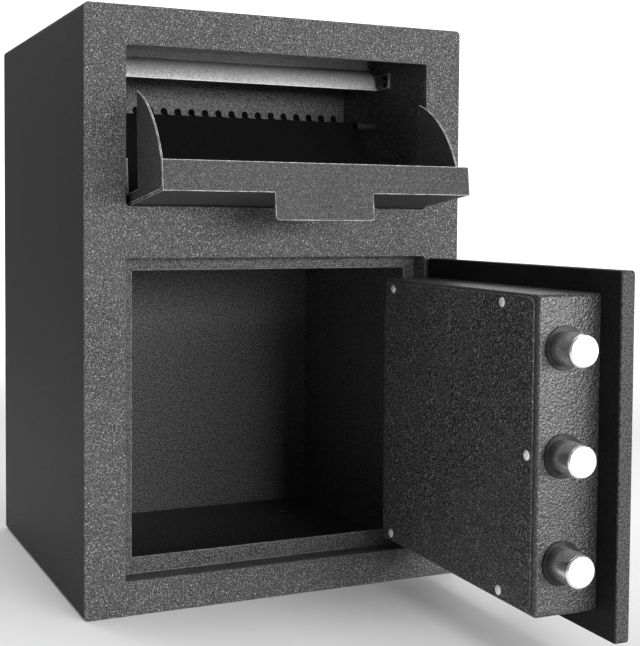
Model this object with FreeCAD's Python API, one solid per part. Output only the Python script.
import FreeCAD, Part
import math
import os

# Depository safe: a steel cabinet with a tilting deposit hopper above a hinged door, which three
# round bolts lock. The origin is the centre of the base on the floor, +X is the right-hand side,
# +Y the back and +Z up; all sizes are millimetres. "Depth" means the distance behind the front face.
# The door is drawn shut and swung open at the end, and so is the hopper.

# ---- cabinet ----
CAB_W = 350.0            # outside width
CAB_D = 325.0            # outside depth
CAB_H = 500.0            # outside height
WALL = 3.0               # cabinet sheet
FACE_T = 3.0             # front frame sheet
CORNER_R = 4.0           # bent corners of the cabinet
EDGE_R = 0.9             # softened front edges
SEAM_R = 0.8             # softened edges where the front and back plates meet the wrap
BORDER = 35.0            # front frame beside the openings
SILL_H = 29.0            # front frame under the door
CROSS_H = 43.0           # front frame between the door and the hopper
TOP_H = 32.0             # front frame above the hopper
HOPPER_OPEN_H = 130.0    # height of the hopper opening
OPEN_R = 2.0             # corner radius of both openings

FRONT = -CAB_D / 2
OPEN_X = CAB_W / 2 - BORDER
HOP_Z0 = CAB_H - TOP_H - HOPPER_OPEN_H
HOP_Z1 = CAB_H - TOP_H
DOOR_Z0 = SILL_H
DOOR_Z1 = HOP_Z0 - CROSS_H
DOOR_MID = (DOOR_Z0 + DOOR_Z1) / 2
CEILING = CAB_H - WALL

# ---- holes for anchoring ----
ANCHOR_R = 6.0
FLOOR_SPACING_X = 240.0
FLOOR_SPACING_Y = 200.0
BACK_SPACING_X = 240.0
BACK_ANCHOR_Z = 300.0

# ---- door recess ----
RECESS = 20.0            # depth of the stop ledge
JAMB_T = 2.5             # jamb sheet
LEDGE = 10.5             # stop ledge beside and above the door
SILL_LEDGE = 14.0        # stop ledge below the door

# ---- hopper chamber ----
CHEEK_T = 3.0            # chamber side plates
CHEEK_DEPTH = 175.0
CHEEK_DROP = 18.0        # how far the side plates reach below the opening
BAFFLE_DEPTH = 165.0
BAFFLE_T = 2.0
TOOTH_PITCH = 14.0
TOOTH_H = 9.5
TOOTH_MOUTH = 5.2        # width of a notch at the tips of the teeth
TOOTH_MOUTH_H = 1.5
TOOTH_LEAN = 3.1         # sideways lean of the notches
TOOTH_BULGE = 3.5        # height of the rounded end of a notch
TOOTH_TIP_BELOW = 43.0   # tooth tips below the top of the opening
RAIL_DEPTH = 89.0        # front of the rounded guard rail
RAIL_R = 20.0            # radius of its nose
RAIL_T = 2.0             # its sheet
RAIL_BELOW = 15.0        # its lower edge below the top of the opening
RAIL_TAB_L = 22.0        # ears that hold it to the side plates
RAIL_TAB_H = 14.0
RAIL_STRIP_GAP = 1.2     # groove between the nose and the strip above it
RAIL_STRIP_H = 6.8
RAIL_STRIP_T = 1.5
RAIL_BOLT_R = 5.0
RAIL_BOLT_H = 3.0
RAIL_BOLT_BACK = 3.0     # bolt behind the middle of its ear

# ---- hopper ----
HOPPER_T = 2.0           # front panel sheet
WING_T = 1.5             # side wings and back plate
SIDE_GAP = 4.5           # panel to the side of its opening
TOP_GAP = 1.0
BOTTOM_GAP = 4.0
TIP_ANGLE = 83.0         # travel from shut to fully open
PIVOT_DEPTH = 26.5
PIVOT_CLEAR = 0.5        # open panel above the lower edge of its opening
FLANGE_L = 24.0          # lip along the top of the panel
TAB_W = 87.0             # pull tab
TAB_L = 22.0
BEND_R = 3.0
RIGHT_WING_INSET = 9.5   # right wing stands in from the end of the panel
WING_MID = (58.0, 19.0)        # depth, and drop below the top of the panel, on the wing's arc
WING_SHOULDER = (88.5, 57.0)
WING_LOWER = 62.0        # lower edge of the wing at the panel, below the top of the panel
WING_WEB = 8.0           # strip along the panel that joins the wing to its pivot ear
EAR_L = 38.0             # pivot ear behind the panel
EAR_ABOVE = 11.0         # ear above the pivot
BACK_PLATE_L = 108.0
BACK_PLATE_DIP = 30.0    # slope of the shut back plate, degrees
STUD_R = 4.0
STUD_RIM = 3.0           # width of the collar and of the riveted end
BUSH_R = 6.0
BUSH_FLANGE_R = 8.5
BUSH_FLANGE_T = 1.0
STOP_R = 4.0
STOP_BACK = 8.0          # stop pin from the end of the back plate
STOP_REACH = 4.0         # stop pin over the back plate

# ---- fits ----
RUN = 0.05               # radial running clearance of shafts
SLIDE = 0.3              # clearance of other moving faces
PIN_SLACK = 0.6          # crank pin in its slot

# ---- door ----
DOOR_T = 11.0
DOOR_GAP = 1.5           # door to the opening, free side, top and bottom
HINGE_GAP = 2.0          # door to the opening, hinge side
DOOR_R = 3.0
DOOR_SWING = 88.0        # opening angle at rest
HINGE_OUT = 7.5          # hinge axis beyond the edge of the opening
HINGE_DEPTH = 5.0
KNUCKLE_R = 4.7
PIN_R = 2.5
DOOR_KNUCKLE_L = 24.0
FRAME_KNUCKLE_L = 12.0
HINGE_END = 58.0         # hinge centre from the end of the door
LUG_T = 7.0
NOTCH_PAST = 8.0         # notch in the frame beyond the hinge axis
NOTCH_END = 1.5          # notch beyond the hinge, up and down
NOTCH_CLEAR = 1.0        # hinge spine beyond the notch
LEAF_L = 20.0            # hinge leaf behind the front frame

# ---- lock housing on the back of the door ----
HOUSING_FREE = 25.5      # housing from the free side of the opening
HOUSING_HINGE = 17.0     # housing from the hinge side of the opening
HOUSING_END = 18.5       # housing from the top and bottom of the opening
HOUSING_DEPTH = 64.0     # outer face of its cover
HOUSING_T = 1.5
HOUSING_R = 3.0
COVER_T = 1.2
COVER_INSET = 4.5
COVER_R = 6.0
FLANGE_W = 13.0          # flange that carries the cover
SCREW_R = 2.0
SCREW_HEAD_R = 3.6
SCREW_HEAD_H = 1.6
SCREW_IN = 6.0           # screws from the edge of the cover
SCREW_BEHIND = 3.0       # shank behind the flange
SCREW_SLOT = (2.2, 0.4)  # half length and half width of the cross in its head
SCREW_FROM_HINGE = 16.0  # end screws from the hinge side of the cover
SCREW_FROM_FREE = 45.0   # end screws from the free side of the housing

# ---- bolt work ----
BOLT_R = 12.0
BOLT_DEPTH = 41.0
BOLT_END = 38.0          # outer bolts from the ends of the housing
BOLT_COUNT = 3
BOLT_L = 43.5
BOLT_TRAVEL = 18.0
BOLT_CHAMFER = 1.2
THREAD_PAST = 1.0        # thread beyond its nut
SLEEVE_WALL = 2.0
SLEEVE_R = BOLT_R + SLEEVE_WALL
SLEEVE_FLANGE_R = SLEEVE_R + 2.0
SLEEVE_FLANGE_T = 1.5
SLEEVE_L = 8.0
BAR_T = 4.0              # carriage web that holds the bolts
BAR_PAST = 4.0           # web beyond the outer bolts
PLATE_BEHIND = 8.0       # sliding web behind the bolt axes
PLATE_T = 2.5            # carriage web that slides on the guides
PLATE_W = 51.0
ARM_H = 42.0
ARM_PAST = 35.0          # arm beyond the knob axis
NUT_R = 8.0
NUT_T = 5.0
THREAD_R = 4.0
GUIDE_R = 4.0
GUIDE_HEAD_R = 7.0
GUIDE_HEAD_T = 2.7
GUIDE_SHOULDER = 2.0     # shoulder wider than the neck
GUIDE_OFFSET = 31.0      # guide posts from the bolt web
GUIDE_END = 41.0         # guide posts from the ends of the housing

# ---- knob ----
KNOB_X = -5.0
KNOB_BELOW = 50.0        # knob axis below the middle of the door
KNOB_R = 20.0
KNOB_H = 24.0
KNOB_RIM = 2.5
KNOB_FACE = 8.0          # solid face of the knob
SCALLOPS = 3
SCALLOP_R = 14.0
SCALLOP_OUT = 9.0        # scallop centres outside the knob
SCALLOP_ABOVE = 7.0      # skirt under the scallops
SPINDLE_R = 5.0
ROSE_R = 27.0
ROSE_T = 4.0
ROSE_EDGE_R = 1.5
CAM_R = 19.0
CAM_T = 4.0
CAM_CLEAR = 1.3          # cam disc to the sliding web
CRANK_PIN_R = 3.0
CRANK_PIN_PAST = 2.0

# ---- solenoid ----
COIL_W = 32.0
COIL_H = 46.0
COIL_T = 20.0
COIL_ABOVE = 5.0         # coil above the carriage arm
PLUNGER_R = 3.5
PLUNGER_L = 28.0
PLUNGER_TRAVEL = 8.0
PLUNGER_CLEAR = 2.0      # drawn-in plunger above the arm
NOTCH_DEEPER = 1.0       # arm notch beyond the plunger
PLUNGER_X = 22.0         # plunger beyond the knob axis

# ---- override lock ----
OVERRIDE_X = 47.0
OVERRIDE_R = 9.5
OVERRIDE_DEPTH = 30.0
OVERRIDE_RIM_R = 13.0
OVERRIDE_RIM_T = 5.0
OVERRIDE_EDGE_R = 1.5
PLUG_R = 6.0
KEYWAY = (1.8, 8.0, 12.0)      # width, height and depth
TAIL_L = 22.0
TAIL_T = 2.0
TAIL_W = 12.0

# ---- keypad ----
PAD_W = 84.0
PAD_H = 126.0
PAD_T = 28.0
PAD_WALL = 2.5
PAD_R = 8.0
PAD_EDGE_R = 2.0
PAD_ABOVE = 49.0         # keypad centre above the middle of the door
KEY_W = 16.0
KEY_H = 12.5
KEY_PITCH_X = 21.0
KEY_PITCH_Z = 18.0
KEY_PROUD = 2.2
KEY_LIP = 1.2
KEY_R = 2.0
KEY_EDGE_R = 0.8
KEY_LIP_W = 1.0
KEY_TRAVEL = 1.2
KEYS_BELOW = 13.0        # middle of the keys below the keypad centre
KEY_NAMES = ("1", "2", "3", "4", "5", "6", "7", "8", "9", "clear", "0", "enter")
BOARD_T = 1.6
BOARD_GAP = 1.0          # pressed key to board
BOARD_EDGE = 1.0         # board to the wall of the case
BOARD_BELOW = 12.0       # board below the lowest key centre
BOARD_ABOVE = 9.0
POST_R = 2.5
POST_IN = 5.0
BACKPLATE_T = 2.0
BATTERY = (48.5, 17.5, 26.5)   # width, depth and height
BATTERY_R = 2.0
HARNESS_R = 2.0
HARNESS_BEND = 8.0
HARNESS_X = -17.0
HARNESS_UP = 17.0        # harness above the lower end of the keypad


def vec(x, y, z):
    return FreeCAD.Vector(x, y, z)


def at(depth):
    """Y of a point that lies this far behind the front face."""
    return FRONT + depth


def block(x0, x1, d0, d1, z0, z1):
    """Box between two X values, two depths and two heights."""
    return Part.makeBox(x1 - x0, d1 - d0, z1 - z0, vec(x0, at(d0), z0))


def rod_x(x0, x1, depth, z, radius):
    return Part.makeCylinder(radius, x1 - x0, vec(x0, at(depth), z), vec(1, 0, 0))


def rod_y(d0, d1, x, z, radius):
    return Part.makeCylinder(radius, d1 - d0, vec(x, at(d0), z), vec(0, 1, 0))


def rod_z(z0, z1, x, depth, radius):
    return Part.makeCylinder(radius, z1 - z0, vec(x, at(depth), z0), vec(0, 0, 1))


def fillet_along(shape, axis, radius):
    """Round every straight edge that runs along one axis: 0 for X, 1 for Y, 2 for Z."""
    edges = []
    for edge in shape.Edges:
        run = edge.Vertexes[-1].Point - edge.Vertexes[0].Point
        if run.Length > 0 and abs(abs(run[axis]) - run.Length) < 1e-6:
            edges.append(edge)
    return shape.makeFillet(radius, edges)


def panel(x0, x1, d0, d1, z0, z1, radius):
    """Upright plate with rounded corners."""
    return fillet_along(block(x0, x1, d0, d1, z0, z1), 1, radius)


def soften(shape, depth, radius):
    """Round all the edges that lie in the upright plane at this depth."""
    edges = [e for e in shape.Edges
             if all(abs(p.y - at(depth)) < 1e-6 for p in (e.Vertexes[0].Point, e.Vertexes[-1].Point))]
    return shape.makeFillet(radius, edges)


def profile_x(outline, x0, x1):
    """Extrude a closed wire in the YZ plane, drawn as (depth, z), between two X values."""
    face = Part.Face(outline)
    face.translate(vec(x0, 0, 0))
    return face.extrude(vec(x1 - x0, 0, 0))


def wire(points):
    """Closed wire through (depth, z) points at X = 0."""
    corners = [vec(0, at(d), z) for d, z in points]
    return Part.makePolygon(corners + [corners[0]])


def export(name, shapes):
    """Write one node; a group of separate pieces becomes one compound."""
    solids = [solid for shape in shapes for solid in shape.Solids]
    shape = solids[0] if len(solids) == 1 else Part.makeCompound(solids)
    shape.exportStep(os.path.join("parts", name + ".step"))


# ---- cabinet body ----

def anchor_holes_floor():
    return [rod_z(-1, WALL + 1, sx * FLOOR_SPACING_X / 2, CAB_D / 2 + sy * FLOOR_SPACING_Y / 2, ANCHOR_R)
            for sx in (-1, 1) for sy in (-1, 1)]


def cabinet_wrap():
    outer = panel(-CAB_W / 2, CAB_W / 2, FACE_T, CAB_D - WALL, 0, CAB_H, CORNER_R)
    outer = soften(soften(outer, FACE_T, SEAM_R), CAB_D - WALL, SEAM_R)
    inner = panel(-CAB_W / 2 + WALL, CAB_W / 2 - WALL, 0, CAB_D, WALL, CEILING, CORNER_R - WALL)
    return outer.cut(inner).cut(anchor_holes_floor())


def back_panel():
    plate = panel(-CAB_W / 2, CAB_W / 2, CAB_D - WALL, CAB_D, 0, CAB_H, CORNER_R)
    plate = soften(plate, CAB_D - WALL, SEAM_R)
    holes = [rod_y(CAB_D - WALL - 1, CAB_D + 1, side * BACK_SPACING_X / 2, BACK_ANCHOR_Z, ANCHOR_R)
             for side in (-1, 1)]
    return plate.cut(holes)


HINGE_X = OPEN_X + HINGE_OUT
HINGE_HALF = DOOR_KNUCKLE_L / 2 + SLIDE + FRAME_KNUCKLE_L
HINGE_ZS = (DOOR_Z0 + HINGE_END, DOOR_Z1 - HINGE_END)


def hinge_notches(d0, d1):
    reach = HINGE_HALF + NOTCH_END
    return [block(OPEN_X - 1, HINGE_X + NOTCH_PAST, d0, d1, z - reach, z + reach) for z in HINGE_ZS]


def face_frame():
    plate = soften(panel(-CAB_W / 2, CAB_W / 2, 0, FACE_T, 0, CAB_H, CORNER_R), FACE_T, SEAM_R)
    for z0, z1 in ((DOOR_Z0, DOOR_Z1), (HOP_Z0, HOP_Z1)):
        plate = plate.cut(panel(-OPEN_X, OPEN_X, -1, FACE_T + 1, z0, z1, OPEN_R))
    return soften(plate, 0, EDGE_R).cut(hinge_notches(-1, FACE_T + 1))


def door_jamb():
    outer = (-OPEN_X - JAMB_T, OPEN_X + JAMB_T)
    walls = block(*outer, FACE_T, RECESS, DOOR_Z0 - JAMB_T, DOOR_Z1 + JAMB_T)
    walls = walls.cut(block(-OPEN_X, OPEN_X, 0, RECESS + 1, DOOR_Z0, DOOR_Z1))
    ledge = block(*outer, RECESS, RECESS + JAMB_T, DOOR_Z0 - JAMB_T, DOOR_Z1 + JAMB_T)
    ledge = ledge.cut(block(-OPEN_X + LEDGE, OPEN_X - LEDGE, RECESS - 1, RECESS + JAMB_T + 1,
                            DOOR_Z0 + SILL_LEDGE, DOOR_Z1 - LEDGE))
    return walls.cut(hinge_notches(0, RECESS)).fuse(ledge).removeSplitter()


def hinge_brackets():
    """Frame half of each hinge: two knuckles on a leaf behind the front frame."""
    brackets = []
    for z in HINGE_ZS:
        inner = DOOR_KNUCKLE_L / 2 + SLIDE
        halves = []
        for low in (z - HINGE_HALF, z + inner):
            knuckle = rod_z(low, low + FRAME_KNUCKLE_L, HINGE_X, HINGE_DEPTH, KNUCKLE_R)
            leaf = block(HINGE_X, HINGE_X + LEAF_L, FACE_T, HINGE_DEPTH + KNUCKLE_R,
                         low, low + FRAME_KNUCKLE_L)
            halves.append(knuckle.fuse(leaf))
        spine = block(HINGE_X + NOTCH_PAST + NOTCH_CLEAR, HINGE_X + LEAF_L, FACE_T, HINGE_DEPTH + KNUCKLE_R,
                      z - HINGE_HALF, z + HINGE_HALF)
        bore = rod_z(z - HINGE_HALF - 1, z + HINGE_HALF + 1, HINGE_X, HINGE_DEPTH, PIN_R)
        brackets.append(halves[0].fuse([halves[1], spine]).cut(bore).removeSplitter())
    return brackets


def hinge_pins():
    return [rod_z(z - HINGE_HALF, z + HINGE_HALF, HINGE_X, HINGE_DEPTH, PIN_R) for z in HINGE_ZS]


# ---- hopper chamber ----

PANEL_Z0 = HOP_Z0 + BOTTOM_GAP
PANEL_Z1 = HOP_Z1 - TOP_GAP
PANEL_X = OPEN_X - SIDE_GAP
TIP = math.radians(TIP_ANGLE)
# The pivot height lets the open panel's underside pass just above the lower edge of the opening.
PIVOT_Z = HOP_Z0 + (PIVOT_DEPTH + PIVOT_CLEAR - (PIVOT_DEPTH - FACE_T) * math.cos(TIP)) / math.sin(TIP)
LEFT_WING_X = (-PANEL_X, -PANEL_X + WING_T)
RIGHT_WING_X = (PANEL_X - RIGHT_WING_INSET - WING_T, PANEL_X - RIGHT_WING_INSET)


def tipped(depth, z):
    """Where a point of the shut hopper comes to when the hopper is open."""
    d = depth - PIVOT_DEPTH
    h = z - PIVOT_Z
    return (PIVOT_DEPTH + d * math.cos(TIP) - h * math.sin(TIP),
            PIVOT_Z + d * math.sin(TIP) + h * math.cos(TIP))


def cheeks():
    """Left and right side plates of the chamber, with the holes for the pivots and rail bolts."""
    plates = []
    for side in (-1, 1):
        x0, x1 = sorted((side * OPEN_X, side * (OPEN_X + CHEEK_T)))
        plate = block(x0, x1, FACE_T, CHEEK_DEPTH, HOP_Z0 - CHEEK_DROP, CEILING)
        holes = [rod_x(x0 - 1, x1 + 1, PIVOT_DEPTH, PIVOT_Z, BUSH_R),
                 rod_x(x0 - 1, x1 + 1, RAIL_BOLT_DEPTH, RAIL_BOLT_Z, RAIL_BOLT_R / 2)]
        plates.append(plate.cut(holes))
    return plates


RAIL_Z0 = HOP_Z1 - RAIL_BELOW
RAIL_BOLT_DEPTH = RAIL_DEPTH - RAIL_TAB_L / 2 - RAIL_BOLT_BACK
RAIL_BOLT_Z = RAIL_Z0 + RAIL_TAB_H / 2


def guard_rail():
    """Rounded lip across the chamber that hangs from the ceiling and is held by two ears."""
    back = RAIL_DEPTH + RAIL_R
    top = RAIL_Z0 + RAIL_R

    def quarter(radius):
        start, end = vec(0, at(back - radius), RAIL_Z0), vec(0, at(back), RAIL_Z0 + radius)
        lean = radius * math.sqrt(0.5)
        middle = vec(0, at(back - lean), RAIL_Z0 + lean)
        corner = vec(0, at(back), RAIL_Z0)
        edges = [Part.Arc(start, middle, end).toShape(), Part.makeLine(end, corner),
                 Part.makeLine(corner, start)]
        return profile_x(Part.Wire(edges), -OPEN_X, OPEN_X)

    nose = quarter(RAIL_R).cut(quarter(RAIL_R - RAIL_T))
    strip = block(-OPEN_X, OPEN_X, back - RAIL_STRIP_T, back + RAIL_T, top + RAIL_STRIP_GAP,
                  top + RAIL_STRIP_GAP + RAIL_STRIP_H)
    web = block(-OPEN_X, OPEN_X, back, back + RAIL_T, top - 2 * RAIL_T, CEILING)
    rail = nose.fuse([strip, web])
    for side in (-1, 1):
        x0, x1 = sorted((side * OPEN_X, side * (OPEN_X - RAIL_T)))
        ear = block(x0, x1, RAIL_DEPTH - RAIL_TAB_L, back + RAIL_T, RAIL_Z0, RAIL_Z0 + RAIL_TAB_H)
        rail = rail.fuse(ear).cut(rod_x(x0 - 1, x1 + 1, RAIL_BOLT_DEPTH, RAIL_BOLT_Z, RAIL_BOLT_R / 2))
    return rail.removeSplitter()


def rail_bolts():
    bolts = []
    for side in (-1, 1):
        inner = OPEN_X - RAIL_T
        x0, x1 = sorted((side * inner, side * (OPEN_X + CHEEK_T)))
        shank = rod_x(x0, x1, RAIL_BOLT_DEPTH, RAIL_BOLT_Z, RAIL_BOLT_R / 2)
        h0, h1 = sorted((side * inner, side * (inner - RAIL_BOLT_H)))
        bolts.append(rod_x(h0, h1, RAIL_BOLT_DEPTH, RAIL_BOLT_Z, RAIL_BOLT_R).fuse(shank))
    return bolts


def toothed_baffle():
    """Plate across the chamber with a row of hooked teeth along its lower edge."""
    tips = HOP_Z1 - TOOTH_TIP_BELOW
    root = tips + TOOTH_H
    plate = block(-OPEN_X, OPEN_X, BAFFLE_DEPTH, BAFFLE_DEPTH + BAFFLE_T, tips, CEILING)
    count = int(2 * OPEN_X / TOOTH_PITCH)
    first = -count * TOOTH_PITCH / 2
    half = TOOTH_MOUTH / 2
    throat = root - TOOTH_BULGE
    notches = []
    for i in range(count):
        x = first + (i + 0.5) * TOOTH_PITCH
        end = x - TOOTH_LEAN
        shape = [(x - half, tips - 1), (x - half, tips + TOOTH_MOUTH_H), (end - 1.8 * half, throat),
                 (end - half / 2, root), (end + 1.5 * half, throat), (x + half, tips + TOOTH_MOUTH_H),
                 (x + half, tips - 1)]
        corners = [vec(a, at(BAFFLE_DEPTH - 1), b) for a, b in shape]
        face = Part.Face(Part.makePolygon(corners + [corners[0]]))
        notches.append(face.extrude(vec(0, BAFFLE_T + 2, 0)))
    return plate.cut(notches)


def pivot_bushes():
    bushes = []
    for side in (-1, 1):
        x0, x1 = sorted((side * OPEN_X, side * (OPEN_X + CHEEK_T)))
        f0, f1 = sorted((side * OPEN_X, side * (OPEN_X - BUSH_FLANGE_T)))
        bush = rod_x(x0, x1, PIVOT_DEPTH, PIVOT_Z, BUSH_R)
        bush = bush.fuse(rod_x(f0, f1, PIVOT_DEPTH, PIVOT_Z, BUSH_FLANGE_R))
        bore = rod_x(min(x0, f0) - 1, max(x1, f1) + 1, PIVOT_DEPTH, PIVOT_Z, STUD_R + RUN)
        bushes.append(bush.cut(bore))
    return bushes


def hopper_stops():
    """Pins on the side plates that the open back plate comes up against."""
    foot, end = tipped(HOPPER_T, PANEL_Z0), tipped(*back_plate_end())
    slope = math.atan2(end[1] - foot[1], end[0] - foot[0])
    off = WING_T + SLIDE + STOP_R
    depth = end[0] - STOP_BACK * math.cos(slope) - off * math.sin(slope)
    z = end[1] - STOP_BACK * math.sin(slope) + off * math.cos(slope)
    return [rod_x(-OPEN_X, LEFT_WING_X[1] + STOP_REACH, depth, z, STOP_R),
            rod_x(RIGHT_WING_X[0] - STOP_REACH, OPEN_X, depth, z, STOP_R)]


# ---- hopper body, drawn shut ----

def back_plate_end():
    """Depth and height of the rear end of the shut back plate."""
    dip = math.radians(BACK_PLATE_DIP)
    return (HOPPER_T + BACK_PLATE_L * math.cos(dip), PANEL_Z0 - BACK_PLATE_L * math.sin(dip))


def hopper_panel():
    """Front panel, its top lip and the pull tab, bent from one sheet."""
    front = block(-PANEL_X, PANEL_X, 0, HOPPER_T, PANEL_Z0, PANEL_Z1)
    lip = block(-PANEL_X, PANEL_X, 0, FLANGE_L, PANEL_Z1 - HOPPER_T, PANEL_Z1)
    body = front.fuse(lip).removeSplitter()
    long_edges = []
    for edge in body.Edges:
        a, b = edge.Vertexes[0].Point, edge.Vertexes[-1].Point
        if abs(a.y - b.y) + abs(a.z - b.z) > 1e-6:
            continue
        if abs(a.y - at(HOPPER_T)) < 1e-6 and abs(a.z - PANEL_Z1 + HOPPER_T) < 1e-6:
            long_edges.append(edge)
    body = body.makeFillet(BEND_R, long_edges)
    corners = [e for e in body.Edges
               if all(abs(v.Point.y - at(0)) < 1e-6 and abs(v.Point.z - PANEL_Z0) < 1e-6 for v in e.Vertexes)]
    body = body.makeFillet(HOPPER_T / 2, corners)
    tab = Part.makeBox(TAB_W, TAB_L + HOPPER_T, HOPPER_T, vec(-TAB_W / 2, at(-TAB_L), PANEL_Z1 - HOPPER_T))
    outer = [e for e in tab.Edges
             if all(abs(v.Point.y - at(-TAB_L)) < 1e-6 for v in e.Vertexes)
             and abs(e.Vertexes[0].Point.x - e.Vertexes[-1].Point.x) < 1e-6]
    return body.fuse(tab.makeFillet(BEND_R, outer)).removeSplitter()


def wing(x0, x1):
    """Sheet side of the scoop: an arc behind the upper half of the panel, and an ear for the pivot."""
    top = PANEL_Z1 - HOPPER_T
    web = HOPPER_T + WING_WEB
    ear = HOPPER_T + EAR_L
    ear_z1 = PIVOT_Z + EAR_ABOVE
    ear_z0 = PANEL_Z0 - EAR_L * math.tan(math.radians(BACK_PLATE_DIP))
    points = {"bottom": (HOPPER_T, PANEL_Z0), "inner": (HOPPER_T, top - BEND_R),
              "start": (HOPPER_T + BEND_R, top), "nose": (FLANGE_L, top),
              "mid": (WING_MID[0], PANEL_Z1 - WING_MID[1]),
              "shoulder": (WING_SHOULDER[0], PANEL_Z1 - WING_SHOULDER[1]),
              "heel": (web, PANEL_Z1 - WING_LOWER), "notch": (web, ear_z1),
              "ear_top": (ear, ear_z1), "ear_foot": (ear, ear_z0)}
    p = {name: vec(0, at(d), z) for name, (d, z) in points.items()}
    corners = ["shoulder", "heel", "notch", "ear_top", "ear_foot", "bottom", "inner", "start", "nose"]
    edges = [Part.makeLine(p[a], p[b]) for a, b in zip(corners, corners[1:])]
    edges.append(Part.Arc(p["nose"], p["mid"], p["shoulder"]).toShape())
    side = profile_x(Part.Wire(edges), x0, x1)
    return side.cut(rod_x(x0 - 1, x1 + 1, PIVOT_DEPTH, PIVOT_Z, STUD_R))


def hopper_back():
    """Sloping back plate of the scoop, between the wings."""
    dip = math.radians(BACK_PLATE_DIP)
    rear = back_plate_end()
    up = (WING_T * math.sin(dip), WING_T * math.cos(dip))
    start = (HOPPER_T, PANEL_Z0)
    outline = wire([start, rear, (rear[0] + up[0], rear[1] + up[1]),
                    (start[0], start[1] + WING_T / math.cos(dip))])
    return profile_x(outline, LEFT_WING_X[1], RIGHT_WING_X[0])


def pivot_studs():
    """Shouldered studs, riveted to the wings, that turn in the bushes."""
    studs = []
    for side, wing_face in ((-1, LEFT_WING_X), (1, RIGHT_WING_X)):
        outer = OPEN_X + CHEEK_T
        near = abs(wing_face[0]) if side < 0 else wing_face[1]
        far = abs(wing_face[1]) if side < 0 else wing_face[0]
        collar = OPEN_X - BUSH_FLANGE_T - SLIDE
        wide = STUD_R + STUD_RIM
        pieces = [(far, outer + SLIDE, STUD_R), (near, collar, wide),
                  (outer + SLIDE, outer + SLIDE + STUD_RIM, wide)]
        rods = [rod_x(*sorted((side * a, side * b)), PIVOT_DEPTH, PIVOT_Z, r) for a, b, r in pieces]
        studs.append(rods[0].fuse(rods[1:]).removeSplitter())
    return studs


def tip_open(shape):
    turned = shape.copy()
    turned.rotate(vec(0, at(PIVOT_DEPTH), PIVOT_Z), vec(1, 0, 0), TIP_ANGLE)
    return turned


# ---- door body, drawn shut ----

DOOR_X0 = -OPEN_X + DOOR_GAP
DOOR_X1 = OPEN_X - HINGE_GAP
KNOB_Z = DOOR_MID - KNOB_BELOW
HOUSING_X0 = -OPEN_X + HOUSING_FREE
HOUSING_X1 = OPEN_X - HOUSING_HINGE
HOUSING_Z0 = DOOR_Z0 + HOUSING_END
HOUSING_Z1 = DOOR_Z1 - HOUSING_END
FLANGE_DEPTH = HOUSING_DEPTH - COVER_T
BOLT_PITCH = (HOUSING_Z1 - HOUSING_Z0 - 2 * BOLT_END) / (BOLT_COUNT - 1)
BOLT_ZS = [HOUSING_Z0 + BOLT_END + i * BOLT_PITCH for i in range(BOLT_COUNT)]
BAR_X0 = DOOR_X0 + BOLT_L
BAR_X1 = BAR_X0 + BAR_T
PLATE_DEPTH = BOLT_DEPTH + PLATE_BEHIND
PAD_Z = DOOR_MID + PAD_ABOVE
HARNESS_Z = PAD_Z - PAD_H / 2 + HARNESS_UP
COVER_SCREW_XS = (HOUSING_X0 + SCREW_FROM_FREE, HOUSING_X1 - COVER_INSET - SCREW_FROM_HINGE)


def cover_screw_points():
    """Four screws near the top and bottom edges and one at the middle of the free side."""
    inset = COVER_INSET / 2 + SCREW_IN
    points = [(x, z) for x in COVER_SCREW_XS for z in (HOUSING_Z0 + inset, HOUSING_Z1 - inset)]
    return points + [(HOUSING_X0 + COVER_INSET + SCREW_IN, DOOR_MID)]


def door_plate():
    plate = panel(DOOR_X0, DOOR_X1, 0, DOOR_T, DOOR_Z0 + DOOR_GAP, DOOR_Z1 - DOOR_GAP, DOOR_R)
    plate = soften(soften(plate, 0, EDGE_R), DOOR_T, EDGE_R)
    return plate.cut([rod_y(-1, DOOR_T + 1, KNOB_X, KNOB_Z, SPINDLE_R + RUN),
                      rod_y(-1, DOOR_T + 1, OVERRIDE_X, KNOB_Z, OVERRIDE_R),
                      rod_y(-1, DOOR_T + 1, HARNESS_X, HARNESS_Z, HARNESS_R + 1)])


def hinge_lugs():
    """Door half of each hinge: a knuckle on a lug that is welded to the edge of the plate."""
    lugs = []
    for z in HINGE_ZS:
        z0, z1 = z - DOOR_KNUCKLE_L / 2, z + DOOR_KNUCKLE_L / 2
        lug = block(DOOR_X1, HINGE_X, HINGE_DEPTH - LUG_T / 2, HINGE_DEPTH + LUG_T / 2, z0, z1)
        knuckle = rod_z(z0, z1, HINGE_X, HINGE_DEPTH, KNUCKLE_R)
        bore = rod_z(z0 - 1, z1 + 1, HINGE_X, HINGE_DEPTH, PIN_R + RUN)
        lugs.append(lug.fuse(knuckle).cut(bore).removeSplitter())
    return lugs


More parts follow.
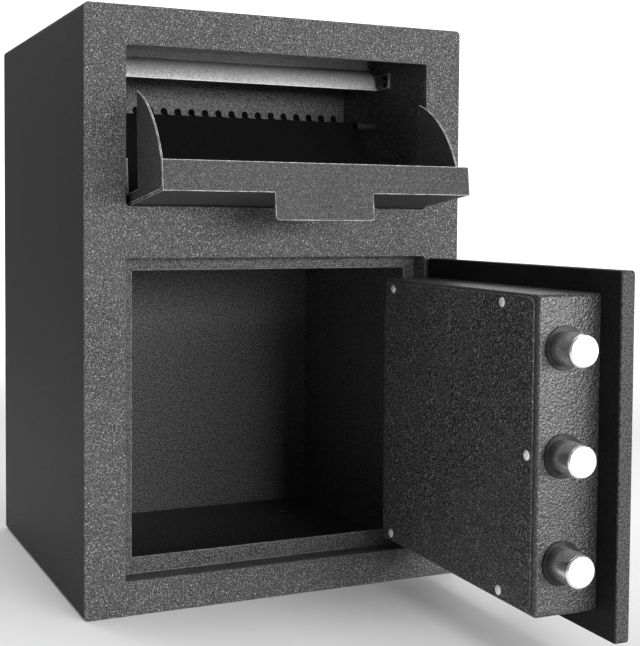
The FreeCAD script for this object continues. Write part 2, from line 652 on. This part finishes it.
def bolt_housing():
    """Folded box on the back of the door, open towards the plate, with a flange for its cover."""
    outer = block(HOUSING_X0, HOUSING_X1, DOOR_T, FLANGE_DEPTH, HOUSING_Z0, HOUSING_Z1)
    outer = fillet_along(outer, 1, HOUSING_R)
    outer = soften(outer, FLANGE_DEPTH, HOUSING_R)
    t = HOUSING_T
    inner = block(HOUSING_X0 + t, HOUSING_X1 - t, DOOR_T - 1, FLANGE_DEPTH - t,
                  HOUSING_Z0 + t, HOUSING_Z1 - t)
    inner = fillet_along(inner, 1, HOUSING_R - t)
    window = block(HOUSING_X0 + FLANGE_W, HOUSING_X1 - FLANGE_W, DOOR_T, HOUSING_DEPTH + 1,
                   HOUSING_Z0 + FLANGE_W, HOUSING_Z1 - FLANGE_W)
    holes = [rod_x(HOUSING_X0 - 1, HOUSING_X0 + t + 1, BOLT_DEPTH, z, SLEEVE_R) for z in BOLT_ZS]
    taps = [rod_y(FLANGE_DEPTH - t - 1, FLANGE_DEPTH + 1, x, z, SCREW_R) for x, z in cover_screw_points()]
    return outer.cut(inner).cut([window] + holes + taps)


def housing_cover():
    plate = panel(HOUSING_X0 + COVER_INSET, HOUSING_X1 - COVER_INSET, FLANGE_DEPTH, HOUSING_DEPTH,
                  HOUSING_Z0 + COVER_INSET / 2, HOUSING_Z1 - COVER_INSET / 2, COVER_R)
    plate = soften(plate, HOUSING_DEPTH, COVER_T / 2)
    return plate.cut([rod_y(FLANGE_DEPTH - 1, HOUSING_DEPTH + 1, x, z, SCREW_R)
                      for x, z in cover_screw_points()])


def cover_screws():
    screws = []
    for x, z in cover_screw_points():
        head = rod_y(HOUSING_DEPTH, HOUSING_DEPTH + SCREW_HEAD_H, x, z, SCREW_HEAD_R)
        head = head.makeFillet(SCREW_HEAD_H * 0.6, [e for e in head.Edges if len(e.Vertexes) == 1
                                                     and abs(e.Vertexes[0].Point.y - at(HOUSING_DEPTH)) > 1])
        shank = rod_y(FLANGE_DEPTH - HOUSING_T - SCREW_BEHIND, HOUSING_DEPTH, x, z, SCREW_R)
        slots = [block(x - a, x + a, HOUSING_DEPTH + SCREW_HEAD_H / 2, HOUSING_DEPTH + 2 * SCREW_HEAD_H,
                       z - b, z + b) for a, b in (SCREW_SLOT, SCREW_SLOT[::-1])]
        screws.append(head.fuse(shank).cut(slots))
    return screws


def bolt_sleeves():
    sleeves = []
    for z in BOLT_ZS:
        body = rod_x(HOUSING_X0, HOUSING_X0 + SLEEVE_L, BOLT_DEPTH, z, SLEEVE_R)
        flange = rod_x(HOUSING_X0 - SLEEVE_FLANGE_T, HOUSING_X0, BOLT_DEPTH, z, SLEEVE_FLANGE_R)
        bore = rod_x(HOUSING_X0 - 5, HOUSING_X0 + SLEEVE_L + 5, BOLT_DEPTH, z, BOLT_R + RUN)
        sleeves.append(body.fuse(flange).cut(bore).removeSplitter())
    return sleeves


GUIDE_X = BAR_X0 + BAR_T + GUIDE_OFFSET
GUIDE_ZS = (HOUSING_Z0 + GUIDE_END, HOUSING_Z1 - GUIDE_END)


def carriage_guides():
    """Shouldered posts that the carriage slides on, with a washer head to keep it there."""
    posts = []
    for z in GUIDE_ZS:
        shoulder = rod_y(DOOR_T, PLATE_DEPTH - SLIDE, GUIDE_X, z, GUIDE_R + GUIDE_SHOULDER)
        neck = rod_y(PLATE_DEPTH - SLIDE, PLATE_DEPTH + PLATE_T + SLIDE, GUIDE_X, z, GUIDE_R)
        under = PLATE_DEPTH + PLATE_T + SLIDE
        head = rod_y(under, under + GUIDE_HEAD_T, GUIDE_X, z, GUIDE_HEAD_R)
        posts.append(shoulder.fuse([neck, head]).removeSplitter())
    return posts


# ---- bolt carriage, drawn thrown ----

ARM_Z0 = KNOB_Z - ARM_H / 2
ARM_Z1 = KNOB_Z + ARM_H / 2
CRANK = BOLT_TRAVEL / math.sqrt(2)       # a quarter turn, centred on the top, moves the pin this far
CRANK_X = KNOB_X - BOLT_TRAVEL / 2
CRANK_Z = KNOB_Z + BOLT_TRAVEL / 2
PLUNGER_AT = KNOB_X + PLUNGER_X


def locking_bolt(z):
    bolt = rod_x(DOOR_X0, BAR_X0, BOLT_DEPTH, z, BOLT_R)
    bolt = bolt.makeChamfer(BOLT_CHAMFER, [e for e in bolt.Edges if len(e.Vertexes) == 1
                                           and abs(e.Vertexes[0].Point.x - DOOR_X0) < 1e-6])
    stud = rod_x(BAR_X0, BAR_X1 + NUT_T + THREAD_PAST, BOLT_DEPTH, z, THREAD_R)
    return bolt.fuse(stud).removeSplitter()


def bolt_carriage():
    """Angle that holds the bolts, with an arm that the crank pin drives."""
    z0, z1 = BOLT_ZS[0] - BOLT_R - BAR_PAST, BOLT_ZS[-1] + BOLT_R + BAR_PAST
    web = block(BAR_X0, BAR_X1, BOLT_DEPTH - BOLT_R, PLATE_DEPTH + PLATE_T, z0, z1)
    plate = block(BAR_X1, BAR_X1 + PLATE_W, PLATE_DEPTH, PLATE_DEPTH + PLATE_T, z0, z1)
    arm = block(BAR_X1, KNOB_X + ARM_PAST, PLATE_DEPTH, PLATE_DEPTH + PLATE_T, ARM_Z0, ARM_Z1)
    body = web.fuse([plate, arm]).removeSplitter()
    d0, d1 = PLATE_DEPTH - 1, PLATE_DEPTH + PLATE_T + 1
    cuts = [rod_x(BAR_X0 - 1, BAR_X1 + 1, BOLT_DEPTH, z, THREAD_R) for z in BOLT_ZS]
    half = GUIDE_R + SLIDE
    for z in GUIDE_ZS:
        ends = [rod_y(d0, d1, x, z, half) for x in (GUIDE_X - BOLT_TRAVEL, GUIDE_X)]
        cuts += ends + [block(GUIDE_X - BOLT_TRAVEL, GUIDE_X, d0, d1, z - half, z + half)]
    half = CRANK_PIN_R + PIN_SLACK
    top = KNOB_Z + CRANK
    cuts += [rod_y(d0, d1, CRANK_X, z, half) for z in (CRANK_Z, top)]
    cuts += [block(CRANK_X - half, CRANK_X + half, d0, d1, CRANK_Z, top)]
    reach = PLUNGER_R + SLIDE
    floor = ARM_Z1 + PLUNGER_CLEAR - PLUNGER_TRAVEL - NOTCH_DEEPER
    for x in (PLUNGER_AT, PLUNGER_AT - BOLT_TRAVEL):
        cuts.append(block(x - reach, x + reach, d0, d1, floor, ARM_Z1 + 1))
    return body.cut(cuts)


def bolt_nuts():
    nuts = []
    for z in BOLT_ZS:
        corners = [vec(BAR_X1, at(BOLT_DEPTH) + NUT_R * math.cos(math.radians(60 * i)),
                       z + NUT_R * math.sin(math.radians(60 * i))) for i in range(7)]
        nut = Part.Face(Part.makePolygon(corners)).extrude(vec(NUT_T, 0, 0))
        nuts.append(nut.cut(rod_x(BAR_X1 - 1, BAR_X1 + NUT_T + 1, BOLT_DEPTH, z, THREAD_R)))
    return nuts


# ---- knob ----

KNOB_TOP = -ROSE_T - SLIDE - KNOB_H
SPINDLE_TOP = KNOB_TOP + KNOB_FACE
CAM_DEPTH = PLATE_DEPTH - CAM_CLEAR - CAM_T


def knob():
    """Round knob with finger scallops."""
    body = rod_y(KNOB_TOP, KNOB_TOP + KNOB_H, KNOB_X, KNOB_Z, KNOB_R)
    rims = [e for e in body.Edges if len(e.Vertexes) == 1]
    body = body.makeFillet(KNOB_RIM, rims)
    reach = KNOB_R + SCALLOP_OUT
    scallops = []
    for i in range(SCALLOPS):
        angle = math.radians(90 + 360 * i / SCALLOPS)
        x, z = KNOB_X + reach * math.cos(angle), KNOB_Z + reach * math.sin(angle)
        scallops.append(rod_y(KNOB_TOP - 1, KNOB_TOP + KNOB_H - SCALLOP_ABOVE, x, z, SCALLOP_R))
    bore = rod_y(SPINDLE_TOP, 0, KNOB_X, KNOB_Z, SPINDLE_R)
    return body.cut(scallops + [bore])


def spindle():
    return rod_y(SPINDLE_TOP, CAM_DEPTH + CAM_T, KNOB_X, KNOB_Z, SPINDLE_R)


def cam_disc():
    disc = rod_y(CAM_DEPTH, CAM_DEPTH + CAM_T, KNOB_X, KNOB_Z, CAM_R)
    return disc.cut([rod_y(0, PLATE_DEPTH, KNOB_X, KNOB_Z, SPINDLE_R),
                     rod_y(0, PLATE_DEPTH, CRANK_X, CRANK_Z, CRANK_PIN_R)])


def crank_pin():
    return rod_y(CAM_DEPTH, PLATE_DEPTH + PLATE_T + CRANK_PIN_PAST, CRANK_X, CRANK_Z, CRANK_PIN_R)


def knob_rose():
    rose = rod_y(-ROSE_T, 0, KNOB_X, KNOB_Z, ROSE_R)
    rose = rose.makeFillet(ROSE_EDGE_R, [e for e in rose.Edges if len(e.Vertexes) == 1
                                 and abs(e.Vertexes[0].Point.y - at(-ROSE_T)) < 1e-6])
    return rose.cut(rod_y(-ROSE_T - 1, 1, KNOB_X, KNOB_Z, SPINDLE_R + RUN))


# ---- solenoid ----

COIL_Z0 = ARM_Z1 + COIL_ABOVE
PLUNGER_DEPTH = PLATE_DEPTH + PLATE_T / 2


def solenoid_case():
    """Solenoid and its foot on the door plate."""
    case = block(PLUNGER_AT - COIL_W / 2, PLUNGER_AT + COIL_W / 2, PLUNGER_DEPTH - COIL_T / 2,
                 PLUNGER_DEPTH + COIL_T / 2, COIL_Z0, COIL_Z0 + COIL_H)
    foot = block(PLUNGER_AT - COIL_W / 2, PLUNGER_AT + COIL_W / 2, DOOR_T, PLUNGER_DEPTH - COIL_T / 2,
                 COIL_Z0 + COIL_H / 4, COIL_Z0 + COIL_H * 3 / 4)
    bore = rod_z(COIL_Z0 - 1, COIL_Z0 + PLUNGER_L, PLUNGER_AT, PLUNGER_DEPTH, PLUNGER_R + RUN)
    return case.fuse(foot).cut(bore).removeSplitter()


def solenoid_plunger():
    return rod_z(ARM_Z1 + PLUNGER_CLEAR, ARM_Z1 + PLUNGER_CLEAR + PLUNGER_L, PLUNGER_AT, PLUNGER_DEPTH,
                 PLUNGER_R)


# ---- override lock ----

def override_body():
    barrel = rod_y(0, OVERRIDE_DEPTH, OVERRIDE_X, KNOB_Z, OVERRIDE_R)
    rim = rod_y(-OVERRIDE_RIM_T, 0, OVERRIDE_X, KNOB_Z, OVERRIDE_RIM_R)
    rim = rim.makeFillet(OVERRIDE_EDGE_R, [e for e in rim.Edges if len(e.Vertexes) == 1
                               and abs(e.Vertexes[0].Point.y - at(-OVERRIDE_RIM_T)) < 1e-6])
    bore = rod_y(-OVERRIDE_RIM_T - 1, OVERRIDE_DEPTH + 1, OVERRIDE_X, KNOB_Z, PLUG_R + RUN)
    return barrel.fuse(rim).cut(bore)


def override_plug():
    width, height, depth = KEYWAY
    plug = rod_y(-OVERRIDE_RIM_T - SLIDE, OVERRIDE_DEPTH + SLIDE, OVERRIDE_X, KNOB_Z, PLUG_R)
    return plug.cut(block(OVERRIDE_X - width / 2, OVERRIDE_X + width / 2, -OVERRIDE_RIM_T - 1, depth,
                          KNOB_Z - height / 2, KNOB_Z + height / 2))


def override_tail():
    d0 = OVERRIDE_DEPTH + SLIDE
    half = TAIL_W / 2
    return block(OVERRIDE_X - half, OVERRIDE_X + half, d0, d0 + TAIL_T, KNOB_Z - half, KNOB_Z + TAIL_L)


# ---- keypad ----

def key_centres():
    centres = {}
    for i, name in enumerate(KEY_NAMES):
        column, row = i % 3, i // 3
        centres[name] = (KNOB_X + (column - 1) * KEY_PITCH_X,
                         PAD_Z - KEYS_BELOW + (1.5 - row) * KEY_PITCH_Z)
    return centres


PAD_X0, PAD_X1 = KNOB_X - PAD_W / 2, KNOB_X + PAD_W / 2
PAD_INNER = -PAD_T + PAD_WALL
BOARD_DEPTH = PAD_INNER + KEY_LIP + KEY_TRAVEL + BOARD_GAP


def key_window(centre, d0, d1, gap):
    x, z = centre
    return panel(x - KEY_W / 2 - gap, x + KEY_W / 2 + gap, d0, d1, z - KEY_H / 2 - gap, z + KEY_H / 2 + gap,
                 KEY_R + gap)


def keypad_case():
    outer = fillet_along(block(PAD_X0, PAD_X1, -PAD_T, 0, PAD_Z - PAD_H / 2, PAD_Z + PAD_H / 2), 1, PAD_R)
    outer = soften(outer, -PAD_T, PAD_EDGE_R)
    w = PAD_WALL
    inner = fillet_along(block(PAD_X0 + w, PAD_X1 - w, PAD_INNER, 1, PAD_Z - PAD_H / 2 + w,
                               PAD_Z + PAD_H / 2 - w), 1, PAD_R - w)
    windows = [key_window(c, -PAD_T - 1, PAD_INNER + 1, SLIDE) for c in key_centres().values()]
    return outer.cut(inner).cut(windows)


def keypad_backplate():
    w = PAD_WALL
    plate = panel(PAD_X0 + w, PAD_X1 - w, -BACKPLATE_T, 0, PAD_Z - PAD_H / 2 + w, PAD_Z + PAD_H / 2 - w,
                  PAD_R - w)
    return plate.cut(rod_y(-BACKPLATE_T - 1, 1, HARNESS_X, HARNESS_Z, HARNESS_R + 1))


def keypad_key(centre):
    cap = soften(key_window(centre, -PAD_T - KEY_PROUD, PAD_INNER, 0), -PAD_T - KEY_PROUD, KEY_EDGE_R)
    return cap.fuse(key_window(centre, PAD_INNER, PAD_INNER + KEY_LIP, KEY_LIP_W)).removeSplitter()


def circuit_board():
    """Board under the keys, on four posts that stand on the back plate."""
    rows = [z for _, z in key_centres().values()]
    z0, z1 = min(rows) - BOARD_BELOW, max(rows) + BOARD_ABOVE
    x0, x1 = PAD_X0 + PAD_WALL + BOARD_EDGE, PAD_X1 - PAD_WALL - BOARD_EDGE
    board = block(x0, x1, BOARD_DEPTH, BOARD_DEPTH + BOARD_T, z0, z1)
    posts = [rod_y(BOARD_DEPTH + BOARD_T, -BACKPLATE_T, x, z, POST_R)
             for x in (x0 + POST_IN, x1 - POST_IN) for z in (z0 + POST_IN, z1 - POST_IN)]
    return board.fuse(posts)


def battery():
    w, t, h = BATTERY
    top = PAD_Z + PAD_H / 2 - PAD_WALL - BOARD_EDGE
    return panel(KNOB_X - w / 2, KNOB_X + w / 2, -BACKPLATE_T - t, -BACKPLATE_T, top - h, top,
                 BATTERY_R)


def lock_harness():
    """Cable from the board, through the plate, round one bend and into the solenoid."""
    start = at(BOARD_DEPTH + BOARD_T)
    run_end = at(PLUNGER_DEPTH) - HARNESS_BEND
    entry = PLUNGER_AT - COIL_W / 2
    lean = HARNESS_BEND * (1 - math.sqrt(0.5))
    a = vec(HARNESS_X, start, HARNESS_Z)
    b = vec(HARNESS_X, run_end, HARNESS_Z)
    mid = vec(HARNESS_X + lean, run_end + HARNESS_BEND * math.sqrt(0.5), HARNESS_Z)
    c = vec(HARNESS_X + HARNESS_BEND, at(PLUNGER_DEPTH), HARNESS_Z)
    d = vec(entry, at(PLUNGER_DEPTH), HARNESS_Z)
    path = Part.Wire([Part.makeLine(a, b), Part.Arc(b, mid, c).toShape(), Part.makeLine(c, d)])
    ring = Part.Wire(Part.makeCircle(HARNESS_R, a, vec(0, 1, 0)))
    return path.makePipeShell([ring], True, False)


def swing_open(shape):
    turned = shape.copy()
    turned.rotate(vec(HINGE_X, at(HINGE_DEPTH), 0), vec(0, 0, 1), DOOR_SWING)
    return turned


def main():
    os.makedirs("parts", exist_ok=True)
    left_cheek, right_cheek = cheeks()
    fixed = {
        "cabinet_wrap": [cabinet_wrap()], "back_panel": [back_panel()], "face_frame": [face_frame()],
        "door_jamb": [door_jamb()], "hinge_brackets": hinge_brackets(), "hinge_pins": hinge_pins(),
        "chamber_cheek_left": [left_cheek], "chamber_cheek_right": [right_cheek],
        "guard_rail": [guard_rail()], "rail_bolts": rail_bolts(), "toothed_baffle": [toothed_baffle()],
        "pivot_bushes": pivot_bushes(), "hopper_stops": hopper_stops(),
    }
    hopper = {
        "hopper_panel": [hopper_panel()], "hopper_wing_left": [wing(*LEFT_WING_X)],
        "hopper_wing_right": [wing(*RIGHT_WING_X)], "hopper_back": [hopper_back()],
        "pivot_studs": pivot_studs(),
    }
    door = {
        "door_plate": [door_plate()], "hinge_lugs": hinge_lugs(), "bolt_housing": [bolt_housing()],
        "housing_cover": [housing_cover()], "cover_screws": cover_screws(),
        "bolt_sleeves": bolt_sleeves(), "carriage_guides": carriage_guides(),
        "bolt_carriage": [bolt_carriage()], "bolt_nuts": bolt_nuts(),
        "knob": [knob()], "knob_spindle": [spindle()], "cam_disc": [cam_disc()],
        "crank_pin": [crank_pin()], "knob_rose": [knob_rose()], "solenoid_case": [solenoid_case()],
        "solenoid_plunger": [solenoid_plunger()], "override_body": [override_body()],
        "override_plug": [override_plug()], "override_tail": [override_tail()],
        "keypad_case": [keypad_case()], "keypad_backplate": [keypad_backplate()],
        "circuit_board": [circuit_board()], "battery": [battery()], "lock_harness": [lock_harness()],
    }
    for number, z in enumerate(BOLT_ZS, start=1):
        door["locking_bolt_%d" % number] = [locking_bolt(z)]
    for name, centre in key_centres().items():
        door["key_" + name] = [keypad_key(centre)]
    for name, shapes in fixed.items():
        export(name, shapes)
    for name, shapes in hopper.items():
        export(name, [tip_open(shape) for shape in shapes])
    for name, shapes in door.items():
        export(name, [swing_open(shape) for shape in shapes])


main()
